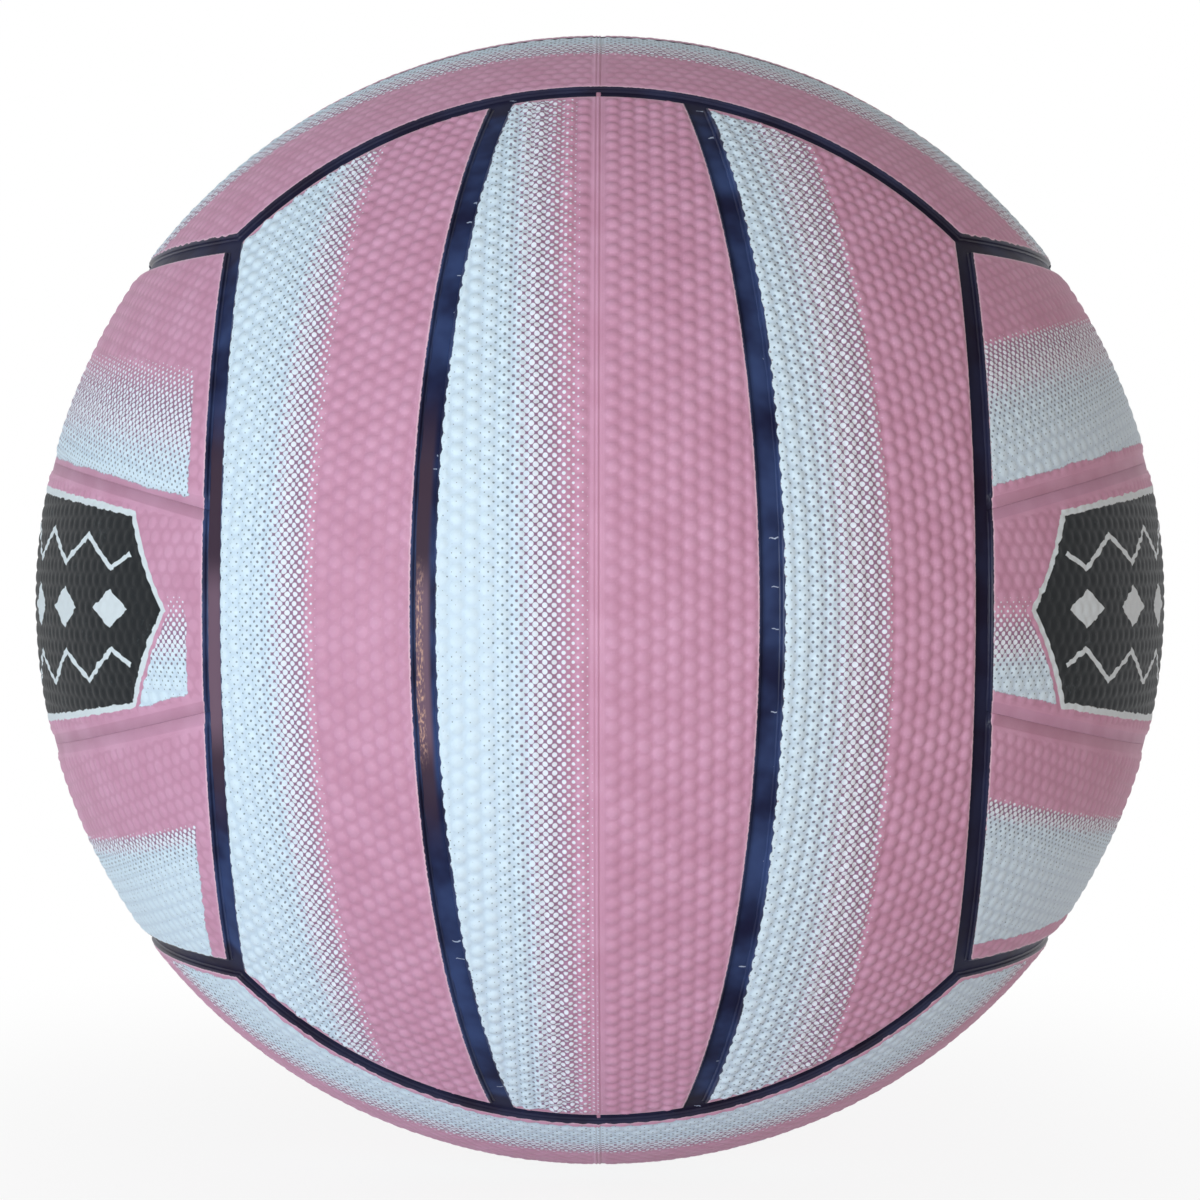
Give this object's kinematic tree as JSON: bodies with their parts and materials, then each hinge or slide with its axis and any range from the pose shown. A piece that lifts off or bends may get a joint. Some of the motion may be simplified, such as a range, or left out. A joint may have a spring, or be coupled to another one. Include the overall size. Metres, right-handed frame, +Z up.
{
  "type": "netball",
  "caption": "Inflatable ball with pebbled rubber panels laid in groups of strips, recessed painted channels between them, a wound core, a bladder and a push-in needle valve.",
  "frame": {"origin": "centre of the ball", "axes": "+Z up, -Y the front, where three panels stand upright, +Y out of the valve"},
  "size_m": [0.2228, 0.2227, 0.2228],
  "materials": {
    "cover_rubber": "matt pebbled pink rubber with a white printed halftone",
    "channel_paint": "glossy navy paint on rubber",
    "thread": "nylon thread set in latex",
    "butyl": "smooth black butyl rubber",
    "valve_rubber": "smooth black rubber"
  },
  "bodies": {
    "ball": {"front_left_panel": "cover_rubber", "front_middle_panel": "cover_rubber", "front_right_panel": "cover_rubber", "back_left_panel": "cover_rubber", "back_middle_panel": "cover_rubber", "back_right_panel": "cover_rubber", "left_lower_panel": "cover_rubber", "left_middle_panel": "cover_rubber", "left_upper_panel": "cover_rubber", "right_lower_panel": "cover_rubber", "right_middle_panel": "cover_rubber", "right_upper_panel": "cover_rubber", "top_front_panel": "cover_rubber", "top_middle_panel": "cover_rubber", "top_rear_panel": "cover_rubber", "bottom_front_panel": "cover_rubber", "bottom_middle_panel": "cover_rubber", "bottom_rear_panel": "cover_rubber", "carcass": "channel_paint", "thread_winding": "thread", "bladder": "butyl", "valve_housing": "butyl"},
    "valve_plug": {"valve_plug": "valve_rubber"}
  },
  "joints": [
    {"name": "valve_plug_slide", "type": "slide", "parent": "ball", "child": "valve_plug", "axis": [0, 1, 0], "range_m": [0, 0.02]}
  ]
}
